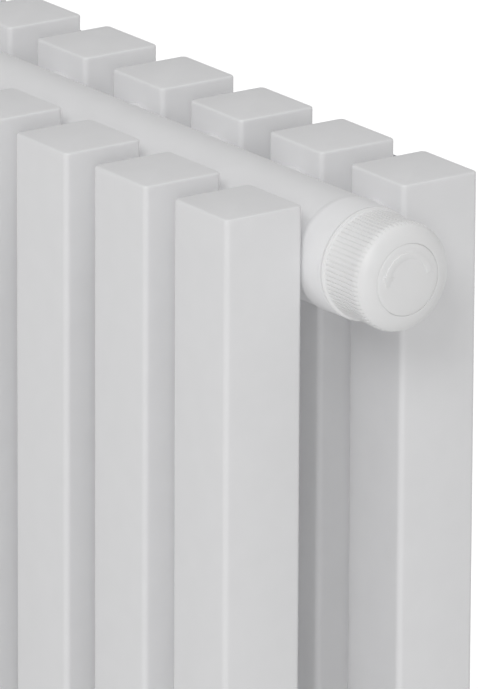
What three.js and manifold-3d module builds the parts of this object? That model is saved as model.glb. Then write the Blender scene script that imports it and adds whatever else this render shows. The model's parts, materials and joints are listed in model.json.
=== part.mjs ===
// Two-row tubular radiator with a hand-knob air-vent valve, in millimetres, +Z up.
// Square steel tubes stand in a front and a back row, and two round manifolds run between them.
// +X points to the valve end, +Y to the wall. The origin is the centre of the base.
import * as THREE from "three";
import { mergeVertices } from "three/addons/utils/BufferGeometryUtils.js";
import Module from "manifold-3d";

// ---- Driving dimensions ----

// The gap that keeps touching pieces apart.
const JOINT_GAP = 0.3;

// Tube bank.
const SECTIONS = 8;
const SECTION_PITCH = 45.7;
const TUBE_SIDE = 30;
const TUBE_CORNER_RADIUS = 2;
const TUBE_WALL = 1.5;
const CAP_THICKNESS = 2;
const CAP_SPIGOT_DEPTH = 4;

// Manifolds.
const CENTRE_DISTANCE = 500;
const MANIFOLD_INSET = 20.6;
const MANIFOLD_RADIUS = 19;
const MANIFOLD_WALL = 2;
const MANIFOLD_OVERHANG = 8.2;
const WELD_GAP = 0.75;
const WATERWAY_RADIUS = 7;
const SADDLE_WALL = 3.5;

// Threaded ports at the manifold ends, at the size of a half-inch pipe thread.
const PORT_RADIUS = 10.4;
const BOSS_LENGTH = 13.4;

// Vent valve body, from the manifold's end face outwards.
const SEAL_THICKNESS = 1.2;
const FLANGE_STEP = 2.6;
const FLANGE_THICKNESS = 3.5;
const SHANK_DEPTH = 13;
const SEAT_DEPTH = 8;
const INLET_RADIUS = 2;
const CHAMBER_RADIUS = 4.6;
const NECK_RADIUS = 8;
const NECK_LENGTH = 5.7;
const OUTLET_RADIUS = 0.9;
const GLAND_STANDOFF = 2.2;
const GLAND_WALL = 1.4;
const GLAND_FRONT = 1;
const PACKING_LENGTH = 1.8;
const PACKING_WALL = 2.4;

// Spindle and jumper.
const THREAD_PITCH = 1.5;
const OPENING_TURNS = 1.25;
const STEM_RADIUS = 3;
const SPINDLE_THREAD_LENGTH = 2.7;
const SPINDLE_SQUARE_LENGTH = 2.2;
const SPINDLE_TAPPING_DEPTH = 6;
const JUMPER_THICKNESS = 1.9;
const JUMPER_SEAL_THICKNESS = 1.5;
const JUMPER_STUD_RADIUS = 1.2;

// Knob.
const KNOB_REAR_GAP = 0.5;
const KNOB_RUNNING_CLEARANCE = 0.8;
const KNOB_WALL = 1.7;
const KNOB_LENGTH = 22.1;
const KNOB_LIP_LENGTH = 0.8;
const KNOB_LIP_HEIGHT = 0.95;
const KNOB_NOSE_LENGTH = 5.2;
const KNOB_NOSE_HEIGHT = 0.44;
const KNOB_DOME_DEPTH = 7.5;
const KNOB_DOME_POWER = 3;
const KNOB_RIBS = 68;
const KNOB_RIB_HEIGHT = 0.45;
const KNOB_FRONT_WALL = 2.4;
const HUB_WALL = 3;
const BADGE_RADIUS = 12;
const BADGE_THICKNESS = 1.5;
const SCREW_SHANK_RADIUS = 1.4;
const SCREW_HEAD_RADIUS = 2.75;
const SCREW_HEAD_HEIGHT = 1.6;
const SCREW_LENGTH = 6;
const SCREW_SLOT_WIDTH = 0.8;

// Blind plug.
const PLUG_FLANGE_THICKNESS = 4;
const PLUG_SHANK_DEPTH = 11;
const PLUG_SOCKET_FLATS = 12;
const PLUG_SOCKET_DEPTH = 8;

// Wall brackets.
const WALL_GAP = 30;
const BRACKET_SECTIONS_IN = 2;
const BRACKET_THICKNESS = 5;
const BRACKET_RIM = 6;
const ARM_HEIGHT = 24;
const ARM_DROP = 12;
const PLATE_THICKNESS = 3;
const PLATE_WIDTH = 26;
const HOOK_PLATE_HEIGHT = 48;
const STANDOFF_PLATE_HEIGHT = 62;
const PLATE_SCREW_RADIUS = 2.75;
const PLATE_SCREW_INSET = 6;
const LINER_THICKNESS = 1.5;
const LINER_FLANGE_DEPTH = 3;
const LINER_FLANGE_THICKNESS = 1.2;
const HOOK_HALF_ANGLE = 70;
const STANDOFF_HALF_ANGLE = 26;
const STANDOFF_HEIGHT = 20;

// Facets round a full circle, for large and small round pieces.
const LARGE_FACETS = 24;
const SMALL_FACETS = 12;
const WATERWAY_FACETS = 8;

// ---- Worked-out dimensions ----

const rowOffset = MANIFOLD_RADIUS + WELD_GAP + TUBE_SIDE / 2;
const tubeHeight = CENTRE_DISTANCE + 2 * MANIFOLD_INSET;
const tubeBankHalf = ((SECTIONS - 1) * SECTION_PITCH) / 2;
const manifoldEnd = tubeBankHalf + TUBE_SIDE / 2 + MANIFOLD_OVERHANG;
const lowerAxis = MANIFOLD_INSET;
const upperAxis = MANIFOLD_INSET + CENTRE_DISTANCE;

const flangeFlatRadius = PORT_RADIUS + FLANGE_STEP;
const flangeCornerRadius = flangeFlatRadius / Math.cos(Math.PI / 6);
const flangeRear = SEAL_THICKNESS + 2 * JOINT_GAP;
const flangeFront = flangeRear + FLANGE_THICKNESS;
const neckFront = flangeFront + NECK_LENGTH;
const glandRear = flangeFront + GLAND_STANDOFF;
const packingRadius = STEM_RADIUS + JOINT_GAP + PACKING_WALL;
const packingRear = neckFront + 2 * JOINT_GAP;
const packingFront = packingRear + PACKING_LENGTH;
const glandFront = packingFront + JOINT_GAP + GLAND_FRONT;

const openTravel = THREAD_PITCH * OPENING_TURNS;
const jumperSealRear = -SEAT_DEPTH + JOINT_GAP;
const jumperRear = jumperSealRear + JUMPER_SEAL_THICKNESS + JOINT_GAP;
const jumperFront = jumperRear + JUMPER_THICKNESS;
const spindleRear = jumperFront + JOINT_GAP;
const threadFront = packingRear - JOINT_GAP - openTravel;
const threadRear = threadFront - SPINDLE_THREAD_LENGTH;
const squareRear = glandFront + JOINT_GAP;
const squareFront = squareRear + SPINDLE_SQUARE_LENGTH;
const squareSide = 2 * STEM_RADIUS * Math.SQRT1_2;

const knobRear = KNOB_REAR_GAP;
const knobTip = knobRear + KNOB_LENGTH;
const knobInnerRadius = flangeCornerRadius + KNOB_RUNNING_CLEARANCE;
const knobBandRadius = knobInnerRadius + KNOB_WALL + KNOB_RIB_HEIGHT;
const knobLipRadius = knobBandRadius + KNOB_LIP_HEIGHT;
const knobNoseRadius = knobBandRadius + KNOB_NOSE_HEIGHT;
const knobLipFront = knobRear + KNOB_LIP_LENGTH;
const knobBandFront = knobTip - KNOB_NOSE_LENGTH;
const badgeFloor = knobTip - BADGE_THICKNESS - JOINT_GAP;
const knobWallRear = badgeFloor - KNOB_FRONT_WALL;
const screwHeadRear = badgeFloor - SCREW_HEAD_HEIGHT - JOINT_GAP;

const saddleRadius = MANIFOLD_RADIUS + LINER_THICKNESS + 2 * JOINT_GAP;
const wallDistance = rowOffset + TUBE_SIDE / 2 + WALL_GAP;
const bracketOffset = tubeBankHalf - (BRACKET_SECTIONS_IN - 0.5) * SECTION_PITCH;

// The base's centre, between the blind plug's face and the knob's tip, and from front to wall.
const leftEnd = -manifoldEnd - flangeRear - PLUG_FLANGE_THICKNESS;
const rightEnd = manifoldEnd + knobTip;
const baseCentreX = (leftEnd + rightEnd) / 2;
const baseCentreY = (wallDistance - rowOffset - TUBE_SIDE / 2) / 2;

// ---- Materials ----

const powderCoat = { color: 0xe9e9ea, roughness: 0.5, metalness: 0 };
const whitePlastic = { color: 0xf2f2f2, roughness: 0.42, metalness: 0 };
const brass = { color: 0xb89a55, roughness: 0.35, metalness: 1 };
const zincSteel = { color: 0xb6b9bd, roughness: 0.4, metalness: 1 };
const blackRubber = { color: 0x1d1d1e, roughness: 0.8, metalness: 0 };

// ---- Solids: join, cut and shape ----

const wasm = await Module();
wasm.setup();

function solidOf(geometry) {
  const bare = geometry.clone();
  bare.deleteAttribute("normal");
  bare.deleteAttribute("uv");
  const merged = mergeVertices(bare, 1e-4);
  const vertProperties = merged.attributes.position.array;
  const triVerts = new Uint32Array(merged.index.array);
  return new wasm.Manifold(new wasm.Mesh({ numProp: 3, vertProperties, triVerts }));
}

function geometryOf(solid) {
  const mesh = solid.getMesh();
  const indexed = new THREE.BufferGeometry();
  indexed.setAttribute("position", new THREE.BufferAttribute(mesh.vertProperties, 3));
  indexed.setIndex(new THREE.BufferAttribute(mesh.triVerts, 1));
  const flat = indexed.toNonIndexed();
  flat.computeVertexNormals();
  return flat;
}

function joined(...geometries) {
  return geometries.map(solidOf).reduce((whole, piece) => whole.add(piece));
}

function cut(geometry, ...cutters) {
  const body = geometry.isBufferGeometry ? solidOf(geometry) : geometry;
  return geometryOf(cutters.map(solidOf).reduce((left, cutter) => left.subtract(cutter), body));
}

// A round piece about the X axis; the profile lists [x, radius] and closes on itself.
function turned(profile, facets = SMALL_FACETS) {
  const points = profile.map(([x, radius]) => new THREE.Vector2(radius, x));
  if (THREE.ShapeUtils.isClockWise(points)) points.reverse();
  points.push(points[0].clone());
  return new THREE.LatheGeometry(points, facets).rotateZ(-Math.PI / 2);
}

// A round bar about the X axis, or a regular prism when it has few sides.
function barX(from, to, radius, sides = SMALL_FACETS) {
  const bar = new THREE.CylinderGeometry(radius, radius, to - from, sides);
  return bar.rotateZ(-Math.PI / 2).translate((from + to) / 2, 0, 0);
}

function barY(from, to, radius, sides = SMALL_FACETS) {
  const bar = new THREE.CylinderGeometry(radius, radius, to - from, sides);
  return bar.translate(0, (from + to) / 2, 0);
}

function block(x, y, z) {
  const size = new THREE.BoxGeometry(x[1] - x[0], y[1] - y[0], z[1] - z[0]);
  return size.translate((x[0] + x[1]) / 2, (y[0] + y[1]) / 2, (z[0] + z[1]) / 2);
}

function roundedSquare(side, radius) {
  const inner = side / 2 - radius;
  const quarter = Math.PI / 2;
  const outline = new THREE.Shape();
  outline.absarc(inner, inner, radius, 0, quarter);
  outline.absarc(-inner, inner, radius, quarter, 2 * quarter);
  outline.absarc(-inner, -inner, radius, 2 * quarter, 3 * quarter);
  outline.absarc(inner, -inner, radius, 3 * quarter, 4 * quarter);
  return outline;
}

function uprightBar(outline, from, to) {
  const options = { depth: to - from, bevelEnabled: false, curveSegments: 2 };
  return new THREE.ExtrudeGeometry(outline, options).translate(0, 0, from);
}

// A plate of a side-view outline, whose first axis is Y and second is Z, centred on X = 0.
function sidePlate(outline, thickness) {
  const options = { depth: thickness, bevelEnabled: false, curveSegments: 14 };
  const plate = new THREE.ExtrudeGeometry(outline, options).translate(0, 0, -thickness / 2);
  const axes = [new THREE.Vector3(0, 1, 0), new THREE.Vector3(0, 0, 1), new THREE.Vector3(1, 0, 0)];
  return plate.applyMatrix4(new THREE.Matrix4().makeBasis(...axes));
}

// Part of a ring about the X axis, as a side-view outline.
function ringSector(innerRadius, outerRadius, middleDegrees, halfDegrees) {
  const from = THREE.MathUtils.degToRad(middleDegrees - halfDegrees);
  const to = THREE.MathUtils.degToRad(middleDegrees + halfDegrees);
  const outline = new THREE.Shape();
  outline.absarc(0, 0, innerRadius, from, to);
  outline.absarc(0, 0, outerRadius, to, from, true);
  outline.closePath();
  return outline;
}

// ---- Tube bank ----

// A square tube with its foot closed. Two saddles on its +Y face reach the manifolds,
// each with a waterway, and are hollowed to the manifold's curve.
function tubeGeometry() {
  const face = TUBE_SIDE / 2;
  const tubeTop = tubeHeight - CAP_THICKNESS - JOINT_GAP;
  const innerHalf = TUBE_SIDE / 2 - TUBE_WALL;
  const shell = uprightBar(roundedSquare(TUBE_SIDE, TUBE_CORNER_RADIUS), 0, tubeTop);
  const innerSpan = [-innerHalf, innerHalf];
  const cavity = block(innerSpan, innerSpan, [TUBE_WALL, tubeTop + 1]);
  const saddleOuterRadius = WATERWAY_RADIUS + SADDLE_WALL;
  const saddles = [];
  const cutters = [cavity];
  for (const axis of [lowerAxis, upperAxis]) {
    const saddle = barY(face - TUBE_WALL / 2, rowOffset, saddleOuterRadius, WATERWAY_FACETS);
    saddles.push(saddle.translate(0, 0, axis));
    const manifold = barX(-TUBE_SIDE, TUBE_SIDE, MANIFOLD_RADIUS + JOINT_GAP, LARGE_FACETS);
    cutters.push(manifold.translate(0, rowOffset, axis));
    const waterway = barY(0, rowOffset, WATERWAY_RADIUS, WATERWAY_FACETS);
    cutters.push(waterway.translate(0, 0, axis));
  }
  return cut(joined(shell, ...saddles), ...cutters);
}

// The plate that closes a tube's top, with a spigot that locates it.
function capGeometry() {
  const spigotSide = TUBE_SIDE - 2 * TUBE_WALL - 2 * JOINT_GAP;
  const plateBottom = tubeHeight - CAP_THICKNESS;
  const spigotBottom = plateBottom - CAP_SPIGOT_DEPTH;
  const plate = uprightBar(roundedSquare(TUBE_SIDE, TUBE_CORNER_RADIUS), plateBottom, tubeHeight);
  const spigot = block(
    [-spigotSide / 2, spigotSide / 2],
    [-spigotSide / 2, spigotSide / 2],
    [spigotBottom, plateBottom + CAP_THICKNESS / 2],
  );
  return geometryOf(joined(plate, spigot));
}

// ---- Manifolds and their ports ----

function manifoldGeometry() {
  const half = manifoldEnd - BOSS_LENGTH - JOINT_GAP;
  const innerRadius = MANIFOLD_RADIUS - MANIFOLD_WALL;
  const wall = turned(
    [[-half, innerRadius], [-half, MANIFOLD_RADIUS], [half, MANIFOLD_RADIUS], [half, innerRadius]],
    LARGE_FACETS,
  );
  const waterways = [];
  for (let section = 0; section < SECTIONS; section++) {
    const x = tubeBankHalf - section * SECTION_PITCH;
    const hole = barY(-MANIFOLD_RADIUS, MANIFOLD_RADIUS, WATERWAY_RADIUS, WATERWAY_FACETS);
    waterways.push(hole.translate(x, 0, 0));
  }
  return cut(wall, ...waterways);
}

// The thick ring welded to a manifold's end; its outer face is at X = 0.
function bossGeometry() {
  const bore = PORT_RADIUS;
  const rear = -BOSS_LENGTH;
  return turned([[rear, bore], [rear, MANIFOLD_RADIUS], [0, MANIFOLD_RADIUS], [0, bore]], LARGE_FACETS);
}

// The seal that lies between a port's face and a plug's or valve's flange.
function portSealGeometry() {
  const inner = PORT_RADIUS + JOINT_GAP;
  const outer = flangeFlatRadius;
  const rear = JOINT_GAP;
  const front = JOINT_GAP + SEAL_THICKNESS;
  return turned([[rear, inner], [rear, outer], [front, outer], [front, inner]], LARGE_FACETS);
}

// ---- Vent valve; X = 0 is the manifold's end face ----

function ventBodyGeometry() {
  const shankRadius = PORT_RADIUS - JOINT_GAP;
  const shank = barX(-SHANK_DEPTH, flangeFront - 1, shankRadius);
  const hexagon = barX(flangeRear, flangeFront, flangeCornerRadius, 6);
  const neck = barX(flangeFront - 1, neckFront, NECK_RADIUS);
  const inlet = barX(-SHANK_DEPTH - 1, -SEAT_DEPTH + 1, INLET_RADIUS);
  const chamber = barX(-SEAT_DEPTH, neckFront + 1, CHAMBER_RADIUS);
  const outlet = barY(-NECK_RADIUS - 1, 0, OUTLET_RADIUS, 12).rotateX(Math.PI / 2);
  outlet.translate(flangeFront + GLAND_STANDOFF / 2, 0, 0);
  return cut(joined(shank, hexagon, neck), inlet, chamber, outlet);
}

// The hexagonal nut over the neck, which holds the packing round the stem.
function glandNutGeometry() {
  const cornerRadius = (NECK_RADIUS + JOINT_GAP + GLAND_WALL) / Math.cos(Math.PI / 6);
  const nut = barX(glandRear, glandFront, cornerRadius, 6);
  const neckBore = barX(glandRear - 1, neckFront + JOINT_GAP, NECK_RADIUS + JOINT_GAP);
  const packingBore = barX(neckFront, packingFront + JOINT_GAP, packingRadius + JOINT_GAP);
  const stemHole = barX(packingFront, glandFront + 1, STEM_RADIUS + JOINT_GAP);
  return cut(nut, neckBore, packingBore, stemHole);
}

function packingGeometry() {
  const inner = STEM_RADIUS + JOINT_GAP;
  return turned([
    [packingRear, inner],
    [packingRear, packingRadius],
    [packingFront, packingRadius],
    [packingFront, inner],
  ]);
}

function spindleGeometry() {
  const threadRadius = CHAMBER_RADIUS - JOINT_GAP;
  const tail = barX(spindleRear, threadRear + 1, STEM_RADIUS - JOINT_GAP);
  const thread = barX(threadRear, threadFront, threadRadius);
  const stem = barX(threadFront - 1, squareRear, STEM_RADIUS);
  const half = squareSide / 2;
  const square = block([squareRear - 1, squareFront], [-half, half], [-half, half]);
  const tapping = barX(squareFront - SPINDLE_TAPPING_DEPTH, squareFront + 1, SCREW_SHANK_RADIUS + JOINT_GAP);
  return cut(joined(tail, thread, stem, square), tapping);
}

// The disc that the spindle pushes on the seat, with a stud for its washer.
function jumperGeometry() {
  const disc = barX(jumperRear, jumperFront, CHAMBER_RADIUS - JOINT_GAP);
  const stud = barX(jumperSealRear + JOINT_GAP, jumperRear + 1, JUMPER_STUD_RADIUS);
  return geometryOf(joined(disc, stud));
}

function jumperSealGeometry() {
  const inner = JUMPER_STUD_RADIUS + JOINT_GAP;
  const outer = CHAMBER_RADIUS - 2 * JOINT_GAP;
  const front = jumperSealRear + JUMPER_SEAL_THICKNESS;
  return turned([[jumperSealRear, inner], [jumperSealRear, outer], [front, outer], [front, inner]]);
}

// ---- Knob ----

// X of the nose's surface at a radius: a full, rounded dome.
function domeX(radius) {
  const share = (radius / knobNoseRadius) ** KNOB_DOME_POWER;
  return knobTip - KNOB_DOME_DEPTH * (1 - (1 - share) ** (1 / KNOB_DOME_POWER));
}

// The nose's outer profile as [x, radius], from the band to the tip.
function noseOutline() {
  const steps = 7;
  const depthShare = (knobBandFront - knobTip) / KNOB_DOME_DEPTH + 1;
  const rearTurn = Math.asin(depthShare ** (KNOB_DOME_POWER / 2));
  const outline = [[knobBandFront, 0]];
  for (let i = 0; i < steps; i++) {
    const turn = rearTurn + (i / steps) * (Math.PI / 2 - rearTurn);
    const radius = knobNoseRadius * Math.cos(turn) ** (2 / KNOB_DOME_POWER);
    outline.push([domeX(radius), radius]);
  }
  outline.push([knobTip, 0]);
  return outline;
}

// The grip band: a bar whose outline has one pointed rib for each turn of the loop.
function ribbedBandGeometry() {
  const root = knobBandRadius - KNOB_RIB_HEIGHT;
  const outline = new THREE.Shape();
  for (let i = 0; i < 2 * KNOB_RIBS; i++) {
    const angle = (Math.PI * i) / KNOB_RIBS;
    const radius = i % 2 ? root : knobBandRadius;
    const point = [radius * Math.cos(angle), radius * Math.sin(angle)];
    if (i === 0) outline.moveTo(...point);
    else outline.lineTo(...point);
  }
  outline.closePath();
  const from = knobLipFront - 0.5;
  const to = knobBandFront + 0.5;
  return sidePlate(outline, to - from).translate((from + to) / 2, 0, 0);
}

function knobGeometry() {
  const chamfer = 0.4;
  const lip = turned(
    [
      [knobRear, 0],
      [knobRear, knobLipRadius - chamfer],
      [knobRear + chamfer, knobLipRadius],
      [knobLipFront, knobLipRadius],
      [knobLipFront, 0],
    ],
    LARGE_FACETS,
  );
  const nose = turned(noseOutline(), LARGE_FACETS);
  const hub = barX(squareRear, knobWallRear + 1, squareSide * Math.SQRT1_2 + HUB_WALL);
  const hollow = barX(knobRear - 1, knobWallRear, knobInnerRadius, LARGE_FACETS);
  const socketHalf = squareSide / 2 + JOINT_GAP;
  const socketFront = squareFront + JOINT_GAP;
  const cutters = [
    block([squareRear - 1, socketFront], [-socketHalf, socketHalf], [-socketHalf, socketHalf]),
    barX(socketFront - 1, screwHeadRear + 1, SCREW_SHANK_RADIUS + JOINT_GAP),
    barX(screwHeadRear - JOINT_GAP, badgeFloor + 1, SCREW_HEAD_RADIUS + JOINT_GAP),
    barX(badgeFloor, knobTip + 1, BADGE_RADIUS + JOINT_GAP, LARGE_FACETS),
  ];
  const shell = joined(lip, ribbedBandGeometry(), nose).subtract(solidOf(hollow));
  return cut(shell.add(solidOf(hub)), ...cutters);
}

// The plain round cover over the knob's screw, crowned as the dome is.
function badgeGeometry() {
  const rear = badgeFloor + JOINT_GAP;
  const outline = [[rear, 0], [rear, BADGE_RADIUS]];
  for (const share of [1, 0.8, 0.5, 0]) {
    outline.push([domeX(BADGE_RADIUS * share), BADGE_RADIUS * share]);
  }
  return turned(outline, LARGE_FACETS);
}

function knobScrewGeometry() {
  const headFront = screwHeadRear + SCREW_HEAD_HEIGHT;
  const head = barX(screwHeadRear, headFront, SCREW_HEAD_RADIUS);
  const shank = barX(screwHeadRear - SCREW_LENGTH, screwHeadRear + 1, SCREW_SHANK_RADIUS);
  const slotHalf = SCREW_SLOT_WIDTH / 2;
  const slotSpan = [-SCREW_HEAD_RADIUS - 1, SCREW_HEAD_RADIUS + 1];
  const slot = block([headFront - SCREW_SLOT_WIDTH, headFront + 1], slotSpan, [-slotHalf, slotHalf]);
  return cut(joined(head, shank), slot);
}

// ---- Blind plug; X = 0 is the manifold's end face ----

function blindPlugGeometry() {
  const front = flangeRear + PLUG_FLANGE_THICKNESS;
  const shank = barX(-PLUG_SHANK_DEPTH, flangeRear + 1, PORT_RADIUS - JOINT_GAP);
  const flange = turned(
    [
      [flangeRear, 0],
      [flangeRear, flangeCornerRadius],
      [front - 1, flangeCornerRadius],
      [front, flangeCornerRadius - 1],
      [front, 0],
    ],
    LARGE_FACETS,
  );
  const socketRadius = PLUG_SOCKET_FLATS / 2 / Math.cos(Math.PI / 6);
  return cut(joined(shank, flange), barX(front - PLUG_SOCKET_DEPTH, front + 1, socketRadius, 6));
}

// ---- Wall brackets; the manifold's axis is at Y = Z = 0 ----

function wallPlate(bottom, height) {
  const rear = wallDistance - PLATE_THICKNESS;
  const half = PLATE_WIDTH / 2;
  return block([-half, half], [rear, wallDistance], [bottom, bottom + height]);
}

function plateScrewHole(z) {
  return barY(wallDistance - PLATE_THICKNESS - 1, wallDistance + 1, PLATE_SCREW_RADIUS, 16).translate(0, 0, z);
}

// The upper bracket: an arm from the wall that cups the manifold from below.
function hookGeometry() {
  const rimRadius = saddleRadius + BRACKET_RIM;
  const cup = ringSector(saddleRadius, rimRadius, 270, HOOK_HALF_ANGLE);
  const armStart = saddleRadius + BRACKET_RIM / 2;
  const armSpan = [armStart - BRACKET_RIM, wallDistance - PLATE_THICKNESS / 2];
  const half = BRACKET_THICKNESS / 2;
  const arm = block([-half, half], armSpan, [-ARM_DROP - ARM_HEIGHT, -ARM_DROP]);
  const plateBottom = -ARM_DROP - ARM_HEIGHT - 2 * PLATE_SCREW_INSET;
  const holes = [
    plateScrewHole(plateBottom + PLATE_SCREW_INSET),
    plateScrewHole(plateBottom + HOOK_PLATE_HEIGHT - PLATE_SCREW_INSET),
  ];
  const clearance = barX(-BRACKET_THICKNESS, BRACKET_THICKNESS, saddleRadius, LARGE_FACETS);
  const plate = wallPlate(plateBottom, HOOK_PLATE_HEIGHT);
  return cut(joined(sidePlate(cup, BRACKET_THICKNESS), arm, plate), clearance, ...holes);
}

// The lower bracket: a stand-off whose hollowed end rests on the back of the manifold.
function standoffGeometry() {
  const half = BRACKET_THICKNESS / 2;
  const armStart = saddleRadius * Math.cos(THREE.MathUtils.degToRad(STANDOFF_HALF_ANGLE));
  const armSpan = [armStart, wallDistance - PLATE_THICKNESS / 2];
  const arm = block([-half, half], armSpan, [-STANDOFF_HEIGHT / 2, STANDOFF_HEIGHT / 2]);
  const plateBottom = -STANDOFF_HEIGHT / 2 - 1;
  const holes = [
    plateScrewHole(plateBottom + STANDOFF_HEIGHT + 2 * PLATE_SCREW_INSET),
    plateScrewHole(plateBottom + STANDOFF_PLATE_HEIGHT - PLATE_SCREW_INSET),
  ];
  const clearance = barX(-BRACKET_THICKNESS, BRACKET_THICKNESS, saddleRadius, LARGE_FACETS);
  const plate = wallPlate(plateBottom, STANDOFF_PLATE_HEIGHT);
  return cut(joined(arm, plate), clearance, ...holes);
}

// The rubber channel that grips a bracket's rim and touches the manifold.
function linerGeometry(middleDegrees, halfDegrees) {
  const inner = MANIFOLD_RADIUS + JOINT_GAP;
  const bed = inner + LINER_THICKNESS;
  const rim = bed + LINER_FLANGE_DEPTH;
  const slotWidth = BRACKET_THICKNESS + 2 * JOINT_GAP;
  const width = slotWidth + 2 * LINER_FLANGE_THICKNESS;
  const channel = sidePlate(ringSector(inner, rim, middleDegrees, halfDegrees), width);
  const slot = sidePlate(ringSector(bed, rim + 1, middleDegrees, halfDegrees + 5), slotWidth);
  return cut(channel, slot);
}

// ---- Assembly ----

const radiator = new THREE.Group();
radiator.position.set(-baseCentreX, -baseCentreY, 0);

function add(parent, name, geometry, finish, x = 0, y = 0, z = 0, turn = 0) {
  const mesh = new THREE.Mesh(geometry, new THREE.MeshStandardMaterial(finish));
  mesh.name = name;
  mesh.position.set(x, y, z);
  mesh.rotation.z = turn;
  parent.add(mesh);
}

const tube = tubeGeometry();
const cap = capGeometry();
for (let section = 1; section <= SECTIONS; section++) {
  const x = tubeBankHalf - (section - 1) * SECTION_PITCH;
  add(radiator, `front_tube_${section}`, tube, powderCoat, x, -rowOffset);
  add(radiator, `front_cap_${section}`, cap, powderCoat, x, -rowOffset);
  add(radiator, `back_tube_${section}`, tube, powderCoat, x, rowOffset, 0, Math.PI);
  add(radiator, `back_cap_${section}`, cap, powderCoat, x, rowOffset, 0, Math.PI);
}

const manifold = manifoldGeometry();
const boss = bossGeometry();
for (const [level, z] of [["upper", upperAxis], ["lower", lowerAxis]]) {
  add(radiator, `${level}_manifold`, manifold, powderCoat, 0, 0, z);
  add(radiator, `${level}_boss_right`, boss, powderCoat, manifoldEnd, 0, z);
  add(radiator, `${level}_boss_left`, boss, powderCoat, -manifoldEnd, 0, z, Math.PI);
}

const valve = new THREE.Group();
valve.position.set(manifoldEnd, 0, upperAxis);
radiator.add(valve);
add(valve, "vent_body", ventBodyGeometry(), brass);
add(valve, "vent_body_seal", portSealGeometry(), blackRubber);
add(valve, "gland_nut", glandNutGeometry(), brass);
add(valve, "stem_packing", packingGeometry(), blackRubber);
add(valve, "jumper", jumperGeometry(), brass);
add(valve, "jumper_washer", jumperSealGeometry(), blackRubber);
add(valve, "spindle", spindleGeometry(), brass);
add(valve, "knob", knobGeometry(), whitePlastic);
add(valve, "knob_screw", knobScrewGeometry(), zincSteel);
add(valve, "knob_cover", badgeGeometry(), whitePlastic);

const plugEnd = new THREE.Group();
plugEnd.position.set(-manifoldEnd, 0, upperAxis);
plugEnd.rotation.z = Math.PI;
radiator.add(plugEnd);
add(plugEnd, "blind_plug", blindPlugGeometry(), powderCoat);
add(plugEnd, "blind_plug_seal", portSealGeometry(), blackRubber);

const hook = hookGeometry();
const hookLiner = linerGeometry(270, HOOK_HALF_ANGLE - 2);
const standoff = standoffGeometry();
const standoffLiner = linerGeometry(0, STANDOFF_HALF_ANGLE - 4);
for (const [end, x] of [["right", bracketOffset], ["left", -bracketOffset]]) {
  add(radiator, `upper_bracket_${end}`, hook, zincSteel, x, 0, upperAxis);
  add(radiator, `upper_bracket_liner_${end}`, hookLiner, blackRubber, x, 0, upperAxis);
  add(radiator, `lower_bracket_${end}`, standoff, zincSteel, x, 0, lowerAxis);
  add(radiator, `lower_bracket_liner_${end}`, standoffLiner, blackRubber, x, 0, lowerAxis);
}

const group = new THREE.Group();
group.add(radiator);

export default group;
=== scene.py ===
"""Two-row tube radiator with a hand-knob air vent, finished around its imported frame.

The frame gives every place and size. Lengths are in metres unless a name says otherwise.
+X points to the valve end, +Y to the wall and +Z up.
"""

import json
import math

import bpy
from mathutils import Matrix, Vector


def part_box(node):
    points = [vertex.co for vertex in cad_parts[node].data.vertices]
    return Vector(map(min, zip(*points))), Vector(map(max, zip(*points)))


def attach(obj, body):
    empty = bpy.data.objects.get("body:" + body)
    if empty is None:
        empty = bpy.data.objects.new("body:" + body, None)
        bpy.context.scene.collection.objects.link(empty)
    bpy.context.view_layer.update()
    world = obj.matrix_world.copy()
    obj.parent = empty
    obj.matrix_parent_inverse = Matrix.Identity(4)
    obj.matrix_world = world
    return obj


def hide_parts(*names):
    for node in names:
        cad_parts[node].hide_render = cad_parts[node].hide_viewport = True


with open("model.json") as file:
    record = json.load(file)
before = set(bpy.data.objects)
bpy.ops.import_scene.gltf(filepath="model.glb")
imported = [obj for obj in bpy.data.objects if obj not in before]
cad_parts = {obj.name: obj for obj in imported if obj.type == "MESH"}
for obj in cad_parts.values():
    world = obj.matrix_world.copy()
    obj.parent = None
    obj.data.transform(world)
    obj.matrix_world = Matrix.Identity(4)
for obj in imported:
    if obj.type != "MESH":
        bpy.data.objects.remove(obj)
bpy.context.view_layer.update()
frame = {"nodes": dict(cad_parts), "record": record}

bl_info = {
    "name": "Tube Radiator",
    "version": (1, 0, 0),
    "blender": (4, 5, 0),
    "location": "View3D > Sidebar > Radiator",
    "description": "Builds the finished pieces of a two-row tube radiator with an air vent",
    "category": "Add Mesh",
}

MM = 0.001
FULL_TURN = 2 * math.pi
JOINT_GAP = 0.3 * MM
SECTIONS = sum(name.startswith("front_tube_") for name in frame["nodes"])
VALVE_AXIS_Y = sum(corner.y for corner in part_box("knob")) / 2
UPPER_AXIS_Z = sum(corner.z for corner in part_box("upper_manifold")) / 2
LOWER_AXIS_Z = sum(corner.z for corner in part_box("lower_manifold")) / 2
RIGHT_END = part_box("upper_boss_right")[1].x
LEFT_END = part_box("upper_boss_left")[0].x


def linear(hex_colour):
    """The linear red, green and blue of an sRGB hex colour."""
    values = [int(hex_colour[i : i + 2], 16) / 255 for i in (1, 3, 5)]
    return tuple(v / 12.92 if v <= 0.04045 else ((v + 0.055) / 1.055) ** 2.4 for v in values)


def length(name, description, default_mm):
    """A length property whose default is given in millimetres."""
    return bpy.props.FloatProperty(
        name=name, description=description, default=default_mm * MM, min=0, unit="LENGTH", precision=5
    )


def colour(name, description, hex_colour):
    """A colour property whose default is given as an sRGB hex value."""
    return bpy.props.FloatVectorProperty(
        name=name, description=description, default=linear(hex_colour), subtype="COLOR", min=0, max=1
    )


def degrees(name, description, default_degrees):
    """An angle property whose default is given in degrees."""
    return bpy.props.FloatProperty(
        name=name, description=description, default=math.radians(default_degrees), subtype="ANGLE"
    )


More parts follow.
